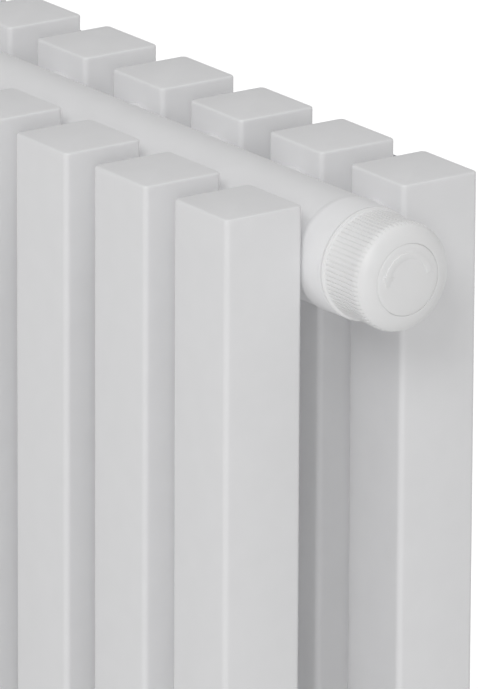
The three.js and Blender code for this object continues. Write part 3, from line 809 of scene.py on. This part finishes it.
class RADIATOR_OT_add_knob(bpy.types.Operator):
    """Adds the ribbed hand knob, its round cover and its screw"""

    bl_idname = "radiator.add_knob"
    bl_label = "Add Knob"

    def execute(self, context):
        sizes = context.scene.radiator_knob
        cover_low, cover_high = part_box("knob_cover")
        cover_radius = (cover_high.z - cover_low.z) / 2
        recess = cover_radius + sizes.cover_gap
        outline, band_start, band_front = knob_outline(sizes, recess)
        outside = (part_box("knob")[1].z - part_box("knob")[0].z) / 2
        inner = outside - sizes.lip_height - sizes.wall
        floor = cover_low.x - JOINT_GAP
        screw_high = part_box("knob_screw")[1]
        wall_rear = floor - sizes.front_wall
        hub_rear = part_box("gland_nut")[1].x + JOINT_GAP
        hub, screw_hole, head_hole = sizes.hub, sizes.screw_hole, sizes.head_hole
        head_rear = screw_high.x - sizes.screw_head - JOINT_GAP
        outline += [(floor, recess), (floor, head_hole), (head_rear, head_hole)]
        outline += [(head_rear, screw_hole), (hub_rear, screw_hole), (hub_rear, hub - 0.3 * MM)]
        outline += [(hub_rear + 0.3 * MM, hub), (wall_rear - 0.8 * MM, hub), (wall_rear, hub + 0.8 * MM)]
        outline += [(wall_rear, inner - MM), (wall_rear - MM, inner), (outline[0][0], inner)]
        knob = lathe("finished_knob", outline, UPPER_AXIS_Z, 4 * sizes.ribs)
        square_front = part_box("spindle")[1].x + 0.2 * MM
        half = context.scene.radiator_valve.stem_radius * math.sqrt(0.5) + 0.15 * MM
        socket_low = (hub_rear - MM, VALVE_AXIS_Y - half, UPPER_AXIS_Z - half)
        socket_high = (square_front, VALVE_AXIS_Y + half, UPPER_AXIS_Z + half)
        combine(knob, block("square_socket", socket_low, socket_high), "DIFFERENCE")
        column = FULL_TURN / (4 * sizes.ribs)

        def in_groove(centre, normal):
            if not band_start < centre.x < band_front + sizes.rib_runout:
                return False
            across = Vector((centre.y - VALVE_AXIS_Y, centre.z - UPPER_AXIS_Z))
            if across.length < inner + sizes.wall / 2:
                return False
            angle = math.atan2(across.y, across.x) % FULL_TURN
            return int(angle / column) % 4 == 0

        open_for_editing(knob, "FACE", in_groove)
        bpy.ops.mesh.extrude_region_shrink_fatten(
            TRANSFORM_OT_shrink_fatten={"value": -sizes.groove_depth}
        )
        close_editing()
        soften(knob, 0.14 * MM, 2, 40)
        finish(knob, "knob", "knob_plastic", 40)
        self.add_cover(sizes, cover_radius, cover_low.x)
        self.add_screw(sizes, *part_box("knob_screw"))
        return {"FINISHED"}

    def add_cover(self, sizes, cover_radius, rear):
        """The round cover in the dome, with a raised arrow that shows which way opens the valve."""
        edge = dome_x(sizes, cover_radius)
        outline = [(rear, 0), (rear, cover_radius - 0.2 * MM), (rear + 0.2 * MM, cover_radius)]
        outline += [(edge - 0.25 * MM, cover_radius), (edge - 0.07 * MM, cover_radius - 0.07 * MM)]
        steps = 10
        for i in range(steps + 1):
            radius = (cover_radius - 0.25 * MM) * (1 - i / steps)
            outline.append((dome_x(sizes, radius), radius))
        cover = lathe("finished_knob_cover", outline, UPPER_AXIS_Z, 96)
        inner, outer = 0.6 * cover_radius, 0.78 * cover_radius
        root = rear + 0.5 * MM
        tip = dome_x(sizes, 0)
        top = min(tip, dome_x(sizes, inner) + sizes.arrow_height)
        band = [(root, inner), (top, inner), (min(tip, dome_x(sizes, outer) + sizes.arrow_height), outer)]
        arrow = lathe("arrow", band + [(root, outer)], UPPER_AXIS_Z, 96)
        keep_sector(arrow, UPPER_AXIS_Z, math.pi / 2, math.radians(80))
        end_angle = math.radians(172)
        middle = (inner + outer) / 2
        head_y = VALVE_AXIS_Y + middle * math.cos(end_angle)
        head_z = UPPER_AXIS_Z + middle * math.sin(end_angle)
        head_low = (root + 0.1 * MM, head_y, head_z)
        head = rod("arrow_head", head_low, (top - 0.02 * MM, head_y, head_z), 2.4 * MM, 3)
        to_centre = Matrix.Translation((0, head_y, head_z))
        head.data.transform(to_centre @ Matrix.Rotation(end_angle, 4, "X") @ to_centre.inverted())
        combine(arrow, head, "UNION")
        combine(cover, arrow, "UNION")
        soften(cover, 0.06 * MM, 2, 50)
        finish(cover, "knob_cover", "knob_plastic", 40)

    def add_screw(self, sizes, low, high):
        """The screw that holds the knob on the spindle, with a slotted round head."""
        head_radius = (high.z - low.z) / 2
        head_rear = high.x - sizes.screw_head
        shank = 1.4 * MM
        outline = [(low.x, 0), (low.x, 0.9 * MM), (low.x + 0.5 * MM, shank)]
        outline += thread_outline(low.x + 0.8 * MM, head_rear - 0.2 * MM, shank, 1.1 * MM, 0.5 * MM)
        outline += [(head_rear, shank), (head_rear, head_radius - 0.1 * MM)]
        outline += [(head_rear + 0.3 * MM, head_radius)]
        for i in range(1, 6):
            turn = i / 5 * math.pi / 2
            x = head_rear + 0.6 * MM + (high.x - head_rear - 0.6 * MM) * math.sin(turn)
            outline.append((x, head_radius * math.cos(turn)))
        screw = lathe("finished_knob_screw", outline, UPPER_AXIS_Z, 48)
        slot_low = (high.x - 0.8 * MM, VALVE_AXIS_Y - 4 * MM, UPPER_AXIS_Z - 0.4 * MM)
        slot_high = (high.x + MM, VALVE_AXIS_Y + 4 * MM, UPPER_AXIS_Z + 0.4 * MM)
        combine(screw, block("screw_slot", slot_low, slot_high), "DIFFERENCE")
        finish(screw, "knob_screw", "zinc_steel")


# ---- Vent valve ----


class RADIATOR_OT_add_vent_body(bpy.types.Operator):
    """Adds the valve's brass body, its gland nut, its packing and its seal"""

    bl_idname = "radiator.add_vent_body"
    bl_label = "Add Vent Body"

    def execute(self, context):
        sizes = context.scene.radiator_valve
        bank = context.scene.radiator_bank
        low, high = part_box("vent_body")
        flange_rear = RIGHT_END + sizes.flange_rear
        flange_front = RIGHT_END + sizes.flange_front
        shank = sizes.shank_radius
        outline = [(low.x, sizes.inlet_radius), (low.x, shank - 0.9 * MM)]
        outline += thread_outline(
            low.x + 0.9 * MM, flange_rear - 1.2 * MM, shank, shank - bank.thread_depth, bank.thread_pitch
        )
        outline += [(flange_rear - 1.1 * MM, shank - 0.8 * MM), (flange_rear + MM, shank - 0.8 * MM)]
        outline += [(flange_front - MM, sizes.neck_radius - sizes.fine_depth)]
        outline += [(flange_front + 1.2 * MM, sizes.neck_radius - sizes.fine_depth)]
        outline += thread_outline(
            flange_front + 1.4 * MM,
            high.x - 0.5 * MM,
            sizes.neck_radius,
            sizes.neck_radius - sizes.fine_depth,
            sizes.fine_pitch,
        )
        seat = RIGHT_END - sizes.seat_depth
        outline += [(high.x, sizes.neck_radius - 0.5 * MM), (high.x, sizes.chamber_radius)]
        outline += [(seat, sizes.chamber_radius), (seat, sizes.inlet_radius)]
        body = lathe("finished_vent_body", outline, UPPER_AXIS_Z, 96)
        flange = hexagon("flange", flange_rear, flange_front, (high.y - low.y) / 2)
        inside = (sizes.chamber_radius + sizes.neck_radius) / 2
        bore(flange, [(flange_rear - 2 * MM, inside), (flange_front + 2 * MM, inside)])
        combine(body, flange, "UNION")
        outlet_x = (flange_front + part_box("gland_nut")[0].x) / 2
        below = (outlet_x, VALVE_AXIS_Y, UPPER_AXIS_Z - sizes.neck_radius - MM)
        middle = (outlet_x, VALVE_AXIS_Y, UPPER_AXIS_Z)
        combine(body, rod("outlet", below, middle, sizes.outlet_radius, 24), "DIFFERENCE")
        tidy_normals(body)
        finish(body, "vent_body", "brass")
        self.add_gland_nut(sizes)
        self.add_packing()
        add_port_seal("vent_body_seal")
        return {"FINISHED"}

    def add_gland_nut(self, sizes):
        """The hexagonal nut on the neck, which holds the packing round the stem."""
        low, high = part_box("gland_nut")
        packing_low, packing_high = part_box("stem_packing")
        nut = hexagon("finished_gland_nut", low.x, high.x, (high.y - low.y) / 2)
        neck_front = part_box("vent_body")[1].x
        neck = sizes.neck_radius + 0.05 * MM
        packing = (packing_high.z - packing_low.z) / 2 + 0.1 * MM
        stem = sizes.stem_radius + 0.2 * MM
        steps = [(low.x - MM, neck), (neck_front + 0.1 * MM, neck), (neck_front + 0.1 * MM, packing)]
        steps += [(packing_high.x + 0.1 * MM, packing), (packing_high.x + 0.1 * MM, stem)]
        bore(nut, steps + [(high.x + MM, stem)])
        soften(nut, 0.12 * MM)
        finish(nut, "gland_nut", "brass")

    def add_packing(self):
        """The soft ring round the stem."""
        low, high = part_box("stem_packing")
        outer = (high.z - low.z) / 2
        ring = rounded_ring("finished_stem_packing", low.x, high.x, outer - 2.4 * MM, outer, 0.4 * MM)
        finish(ring, "stem_packing", "seal_rubber")


def rounded_ring(name, start_x, end_x, inner, outer, corner, axis_z=UPPER_AXIS_Z):
    """A ring about X with softly rounded corners."""
    cut = 0.3 * corner
    outline = [
        (start_x, inner + corner),
        (start_x, outer - corner),
        (start_x + cut, outer - cut),
        (start_x + corner, outer),
        (end_x - corner, outer),
        (end_x - cut, outer - cut),
        (end_x, outer - corner),
        (end_x, inner + corner),
        (end_x - cut, inner + cut),
        (end_x - corner, inner),
        (start_x + corner, inner),
        (start_x + cut, inner + cut),
    ]
    return lathe(name, outline, axis_z, 96)


def add_port_seal(node):
    """The flat rubber ring between a port's face and the flange screwed into it."""
    low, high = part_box(node)
    outer = (high.z - low.z) / 2
    ring = rounded_ring(f"finished_{node}", low.x, high.x, outer - 2.3 * MM, outer, 0.3 * MM)
    finish(ring, node, "seal_rubber")


class RADIATOR_OT_add_spindle(bpy.types.Operator):
    """Adds the spindle, and the jumper and washer that it presses on the seat"""

    bl_idname = "radiator.add_spindle"
    bl_label = "Add Spindle"

    def execute(self, context):
        sizes = context.scene.radiator_valve
        low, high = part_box("spindle")
        thread = (high.z - low.z) / 2
        thread_rear = RIGHT_END + sizes.stem_thread_rear
        thread_front = thread_rear + sizes.stem_thread_length
        square_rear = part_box("gland_nut")[1].x + JOINT_GAP
        tail = sizes.stem_radius - 0.3 * MM
        outline = [(low.x, 0), (low.x, tail - 0.4 * MM), (low.x + 0.4 * MM, tail), (thread_rear, tail)]
        outline += thread_outline(
            thread_rear + 0.1 * MM, thread_front - 0.1 * MM, thread, thread - 0.5 * MM, sizes.fine_pitch
        )
        outline += [(thread_front, sizes.stem_radius), (square_rear, sizes.stem_radius), (square_rear, 0)]
        spindle = lathe("finished_spindle", outline, UPPER_AXIS_Z, 64)
        half = sizes.stem_radius * math.sqrt(0.5)
        square_low = (square_rear - MM, VALVE_AXIS_Y - half, UPPER_AXIS_Z - half)
        square = block("square", square_low, (high.x, VALVE_AXIS_Y + half, UPPER_AXIS_Z + half))
        round_edges(square, 0.3 * MM, 2, lambda a, b: min(a.x, b.x) > high.x - MM / 10)
        combine(spindle, square, "UNION")
        bore(spindle, [(high.x - 6 * MM, 1.5 * MM), (high.x + MM, 1.5 * MM)], 24)
        finish(spindle, "spindle", "brass")
        self.add_jumper()
        self.add_washer()
        return {"FINISHED"}

    def add_jumper(self):
        """The brass disc at the spindle's tail, with the stud that holds its washer."""
        low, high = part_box("jumper")
        disc = (high.z - low.z) / 2
        stud = 1.5 * MM
        step = high.x - 1.9 * MM
        edge = 0.25 * MM
        outline = [(low.x, 0), (low.x, stud - edge), (low.x + edge, stud), (step, stud)]
        outline += [(step, disc - edge), (step + edge, disc), (high.x - edge, disc), (high.x, disc - edge)]
        jumper = lathe("finished_jumper", outline + [(high.x, 0)], UPPER_AXIS_Z, 64)
        finish(jumper, "jumper", "brass")

    def add_washer(self):
        """The rubber washer that closes on the seat."""
        low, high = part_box("jumper_washer")
        outer = (high.z - low.z) / 2
        washer = rounded_ring("finished_jumper_washer", low.x, high.x, 1.7 * MM, outer, 0.3 * MM)
        finish(washer, "jumper_washer", "seal_rubber")


class RADIATOR_OT_add_blind_plug(bpy.types.Operator):
    """Adds the plug and seal that close the upper port at the far end"""

    bl_idname = "radiator.add_blind_plug"
    bl_label = "Add Blind Plug"

    def execute(self, context):
        sizes = context.scene.radiator_valve
        bank = context.scene.radiator_bank
        low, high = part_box("blind_plug")
        flange = (high.z - low.z) / 2
        flange_rear = LEFT_END - sizes.flange_rear
        shank = sizes.shank_radius
        rim = 1.0 * MM
        outline = [(low.x, 0), (low.x, flange - rim)]
        for i in range(1, 6):
            turn = i / 5 * math.pi / 2
            outline.append((low.x + rim * (1 - math.cos(turn)), flange - rim * (1 - math.sin(turn))))
        outline += [(flange_rear - 0.3 * MM, flange), (flange_rear, flange - 0.3 * MM)]
        outline += [(flange_rear, shank - 0.8 * MM), (flange_rear + 1.2 * MM, shank - 0.8 * MM)]
        outline += thread_outline(
            flange_rear + 1.4 * MM, high.x - 0.9 * MM, shank, shank - bank.thread_depth, bank.thread_pitch
        )
        outline += [(high.x, shank - 0.9 * MM), (high.x, 0)]
        plug = lathe("finished_blind_plug", outline, UPPER_AXIS_Z, 96)
        corner = sizes.socket_flats / 2 / math.cos(math.pi / 6)
        bore(plug, [(low.x - MM, corner), (low.x + sizes.socket_depth, corner)], 6)
        mouth = (low.x - 0.01 * MM, VALVE_AXIS_Y, UPPER_AXIS_Z)
        throat = (low.x + 0.6 * MM, VALVE_AXIS_Y, UPPER_AXIS_Z)
        combine(plug, rod("mouth", mouth, throat, corner + 0.3 * MM, 64, corner - 0.3 * MM), "DIFFERENCE")
        finish(plug, "blind_plug", "powder_coat")
        add_port_seal("blind_plug_seal")
        return {"FINISHED"}


# ---- Brackets ----


class RADIATOR_OT_add_brackets(bpy.types.Operator):
    """Adds the hooks that carry the upper manifold and the stand-offs at the lower one"""

    bl_idname = "radiator.add_brackets"
    bl_label = "Add Brackets"

    def execute(self, context):
        sizes = context.scene.radiator_bracket
        hook_low, hook_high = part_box("upper_bracket_right")
        middle_x = (hook_low.x + hook_high.x) / 2
        half = sizes.arm_thickness / 2
        rim = sizes.saddle_radius + sizes.saddle_rim
        ring = [(middle_x - half, sizes.saddle_radius), (middle_x - half, rim)]
        ring += [(middle_x + half, rim), (middle_x + half, sizes.saddle_radius)]
        hook = lathe("hook", ring, UPPER_AXIS_Z, 96)
        keep_sector(hook, UPPER_AXIS_Z, -math.pi / 2, sizes.hook_angle)
        arm_low = hook_low.z + 2 * sizes.screw_inset
        arm_high = hook_high.z - 2 * sizes.screw_inset
        self.add_arm(hook, sizes, middle_x, UPPER_AXIS_Z, (arm_low, arm_high))
        holes = (hook_low.z + sizes.screw_inset, hook_high.z - sizes.screw_inset)
        self.add_plate(hook, sizes, hook_low, hook_high, holes)
        soften(hook, 0.35 * MM, 2, 50)
        self.place_pair(hook, "upper_bracket")
        rest_low, rest_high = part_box("lower_bracket_right")
        arm_low = LOWER_AXIS_Z - sizes.rest_arm_half
        arm_high = LOWER_AXIS_Z + sizes.rest_arm_half
        low = (middle_x - half, VALVE_AXIS_Y + sizes.rest_arm_start, arm_low)
        standoff = block("standoff", low, (middle_x + half, rest_high.y - MM, arm_high))
        saddle = [(middle_x - 10 * MM, sizes.saddle_radius), (middle_x + 10 * MM, sizes.saddle_radius)]
        bore(standoff, saddle, 128, LOWER_AXIS_Z)
        weld_arm(standoff, sizes, middle_x, rest_high.y - sizes.plate_thickness, (arm_low, arm_high))
        holes = (arm_high - MM + 2 * sizes.screw_inset, rest_high.z - sizes.screw_inset)
        self.add_plate(standoff, sizes, rest_low, rest_high, holes)
        soften(standoff, 0.35 * MM, 2, 50)
        self.place_pair(standoff, "lower_bracket")
        return {"FINISHED"}

    def add_arm(self, bracket, sizes, middle_x, axis_z, heights):
        """The arm from the hook's saddle to the wall plate, cleared round the manifold's liner."""
        half = sizes.arm_thickness / 2
        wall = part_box("upper_bracket_right")[1].y
        low = (middle_x - half, VALVE_AXIS_Y + sizes.hook_arm_start, heights[0])
        arm = block("arm", low, (middle_x + half, wall - MM, heights[1]))
        saddle = [(middle_x - 10 * MM, sizes.saddle_radius), (middle_x + 10 * MM, sizes.saddle_radius)]
        bore(arm, saddle, 128, axis_z)
        combine(bracket, arm, "UNION")
        weld_arm(bracket, sizes, middle_x, wall - sizes.plate_thickness, heights)

    def add_plate(self, bracket, sizes, low, high, holes):
        """The wall plate, with a screw hole at each height in the list."""
        plate_front = high.y - sizes.plate_thickness
        plate = block("plate", (low.x, plate_front, low.z), high)
        round_edges(plate, sizes.plate_corner, 6, lambda a, b: abs(a.y - b.y) > sizes.plate_thickness / 2)
        middle_x = (low.x + high.x) / 2
        for z in holes:
            front = (middle_x, plate_front - MM, z)
            behind = (middle_x, high.y + MM, z)
            combine(plate, rod("hole", front, behind, sizes.screw_radius, 40), "DIFFERENCE")
        combine(bracket, plate, "UNION")

    def place_pair(self, bracket, name):
        """A copy of the bracket at each end of the radiator."""
        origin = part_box(f"{name}_right")[0]
        for end in ("right", "left"):
            node = f"{name}_{end}"
            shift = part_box(node)[0].x - origin.x
            piece = copy_of(bracket, f"finished_{node}", Matrix.Translation((shift, 0, 0)))
            finish(piece, node, "zinc_steel")
        bpy.data.objects.remove(bracket)


def weld_arm(bracket, sizes, middle_x, plate_front, heights):
    """Adds the fillet weld down both sides of an arm, where it meets the plate."""
    leg = sizes.arm_thickness / 2 + sizes.weld_leg
    front = plate_front - sizes.weld_leg
    low = (middle_x - leg, front, heights[0] + MM)
    bead = block("weld", low, (middle_x + leg, plate_front + MM, heights[1] - MM))
    round_edges(
        bead,
        0.9 * sizes.weld_leg,
        4,
        lambda a, b: abs(a.z - b.z) > 5 * MM and max(a.y, b.y) < front + MM / 10,
    )
    combine(bracket, bead, "UNION")


class RADIATOR_OT_add_liners(bpy.types.Operator):
    """Adds the rubber channels between the brackets and the manifolds"""

    bl_idname = "radiator.add_liners"
    bl_label = "Add Liners"

    def execute(self, context):
        sizes = context.scene.radiator_bracket
        self.add_pair(sizes, "upper_bracket_liner", UPPER_AXIS_Z, -math.pi / 2, sizes.hook_liner_angle)
        self.add_pair(sizes, "lower_bracket_liner", LOWER_AXIS_Z, 0, sizes.rest_liner_angle)
        return {"FINISHED"}

    def add_pair(self, sizes, name, axis_z, middle, half):
        """A slotted channel over a saddle's spread, copied to both ends of the radiator."""
        low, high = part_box(f"{name}_right")
        centre = (low.x + high.x) / 2
        slot = sizes.arm_thickness / 2 + 0.1 * MM
        outline = [(low.x, sizes.liner_rim), (low.x, sizes.liner_inner), (high.x, sizes.liner_inner)]
        outline += [(high.x, sizes.liner_rim), (centre + slot, sizes.liner_rim)]
        outline += [(centre + slot, sizes.liner_bed), (centre - slot, sizes.liner_bed)]
        outline += [(centre - slot, sizes.liner_rim)]
        liner = lathe("liner", outline, axis_z, 96)
        keep_sector(liner, axis_z, middle, half)
        soften(liner, 0.3 * MM, 3, 50)
        for end in ("right", "left"):
            node = f"{name}_{end}"
            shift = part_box(node)[0].x - low.x
            piece = copy_of(liner, f"finished_{node}", Matrix.Translation((shift, 0, 0)))
            finish(piece, node, "seal_rubber")
        bpy.data.objects.remove(liner)


# ---- Stage ----


class RADIATOR_OT_build_stage(bpy.types.Operator):
    """Sets the pale floor, whose far part glows as painted light, the soft lights and the camera"""

    bl_idname = "radiator.build_stage"
    bl_label = "Build Stage"

    def execute(self, context):
        stage = context.scene.radiator_stage
        self.add_camera(context, stage)
        self.add_floor(context, stage)
        self.add_lights(context, stage)
        return {"FINISHED"}

    def add_camera(self, context, stage):
        """The camera looks past the first section's top, slid sideways and down."""
        front_low, front_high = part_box("front_cap_1")
        back_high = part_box("back_cap_1")[1]
        anchor = Vector(
            ((front_low.x + front_high.x) / 2, (front_low.y + back_high.y) / 2, front_high.z)
        )
        level = Matrix.Rotation(stage.azimuth, 4, "Z")
        upright = Matrix.Rotation(math.pi / 2 - stage.elevation, 4, "X")
        turn = level @ upright @ Matrix.Rotation(-stage.roll, 4, "Z")
        offset = Vector((stage.shift_right, stage.shift_up, stage.distance))
        clear_selection()
        bpy.ops.object.camera_add(location=anchor + turn.to_3x3() @ offset, rotation=turn.to_euler())
        camera = context.object
        camera.name = "camera"
        camera.data.lens = stage.lens
        camera.data.sensor_width = 36
        camera.data.clip_start = 0.1
        camera.data.clip_end = 50
        context.scene.camera = camera

    def add_floor(self, context, stage):
        clear_selection()
        bpy.ops.mesh.primitive_plane_add(size=stage.floor_size, location=(0, 0, 0))
        floor = name_new("floor")
        shade = tuple(context.scene.radiator_finishes.floor)
        settings = {"Base Color": (*shade, 1), "Roughness": 0.9, "Specular IOR Level": 0.0}
        material, tree, shader, place = new_material("matt_pale_floor_painted_glow", settings)
        # Painted light: the floor is no lamp, but past glow_start behind the radiator, on the side away from
        # the camera, it glows. The emission ramps up to floor_glow, lights the radiator from below and makes
        # the far floor show white.
        away = (-math.sin(stage.azimuth), math.cos(stage.azimuth), 0)
        dot = add_node(tree, "ShaderNodeVectorMath", {"operation": "DOT_PRODUCT"}, {0: place})
        dot.inputs[1].default_value = away
        ramp_settings = {
            "From Min": stage.glow_start,
            "From Max": stage.glow_full,
            "To Min": 0.0,
            "To Max": stage.floor_glow,
        }
        ramp = add_node(tree, "ShaderNodeMapRange", ramp_settings, {"Value": dot.outputs["Value"]})
        shader.inputs["Emission Color"].default_value = (1, 1, 1, 1)
        tree.links.new(ramp.outputs["Result"], shader.inputs["Emission Strength"])
        floor.data.materials.append(material)

    def add_lights(self, context, stage):
        world = bpy.data.worlds.new("soft_studio")
        world.use_nodes = True
        background = world.node_tree.nodes["Background"]
        background.inputs["Color"].default_value = (1, 1, 1, 1)
        background.inputs["Strength"].default_value = stage.ambient
        context.scene.world = world
        context.scene.view_settings.view_transform = "Standard"
        aim = Vector((RIGHT_END, VALVE_AXIS_Y, UPPER_AXIS_Z))
        key = aim + Vector(stage.key_direction).normalized() * stage.key_distance
        self.add_softbox("key_softbox", key, aim, stage.key_size, stage.key_power)
        fill = aim + Vector(stage.fill_direction).normalized() * stage.key_distance
        self.add_softbox("fill_softbox", fill, aim, stage.fill_size, stage.fill_power)
        overhead = Vector((0, 0, stage.overhead_height))
        self.add_softbox("overhead_softbox", overhead, Vector(), stage.overhead_size, stage.overhead_power)

    def add_softbox(self, name, place, aim, size, power):
        """A square area light aimed at a point."""
        turn = (place - aim).to_track_quat("Z", "Y").to_euler()
        clear_selection()
        bpy.ops.object.light_add(type="AREA", location=place, rotation=turn)
        light = bpy.context.object
        light.name = name
        light.data.shape = "SQUARE"
        light.data.size = size
        light.data.energy = power


class RADIATOR_PT_panel(bpy.types.Panel):
    """Lists the radiator's operators"""

    bl_idname = "RADIATOR_PT_panel"
    bl_label = "Tube Radiator"
    bl_space_type = "VIEW_3D"
    bl_region_type = "UI"
    bl_category = "Radiator"

    def draw(self, context):
        for operator in OPERATORS:
            self.layout.operator(operator.bl_idname)


OPERATORS = (
    RADIATOR_OT_build_stage,
    RADIATOR_OT_add_tubes,
    RADIATOR_OT_add_caps,
    RADIATOR_OT_add_manifolds,
    RADIATOR_OT_add_bosses,
    RADIATOR_OT_add_vent_body,
    RADIATOR_OT_add_spindle,
    RADIATOR_OT_add_knob,
    RADIATOR_OT_add_blind_plug,
    RADIATOR_OT_add_brackets,
    RADIATOR_OT_add_liners,
)
GROUPS = {
    "radiator_bank": RadiatorBankSizes,
    "radiator_knob": RadiatorKnobSizes,
    "radiator_valve": RadiatorValveSizes,
    "radiator_bracket": RadiatorBracketSizes,
    "radiator_finishes": RadiatorFinishes,
    "radiator_stage": RadiatorStageSettings,
}


def register():
    for group in GROUPS.values():
        bpy.utils.register_class(group)
    for name, group in GROUPS.items():
        setattr(bpy.types.Scene, name, bpy.props.PointerProperty(type=group))
    for operator in OPERATORS:
        bpy.utils.register_class(operator)
    bpy.utils.register_class(RADIATOR_PT_panel)


def unregister():
    bpy.utils.unregister_class(RADIATOR_PT_panel)
    for operator in reversed(OPERATORS):
        bpy.utils.unregister_class(operator)
    for name, group in reversed(GROUPS.items()):
        delattr(bpy.types.Scene, name)
        bpy.utils.unregister_class(group)


def main():
    register()
    for operator in OPERATORS:
        group, name = operator.bl_idname.split(".")
        getattr(getattr(bpy.ops, group), name)()


if __name__ == "__main__":
    main()
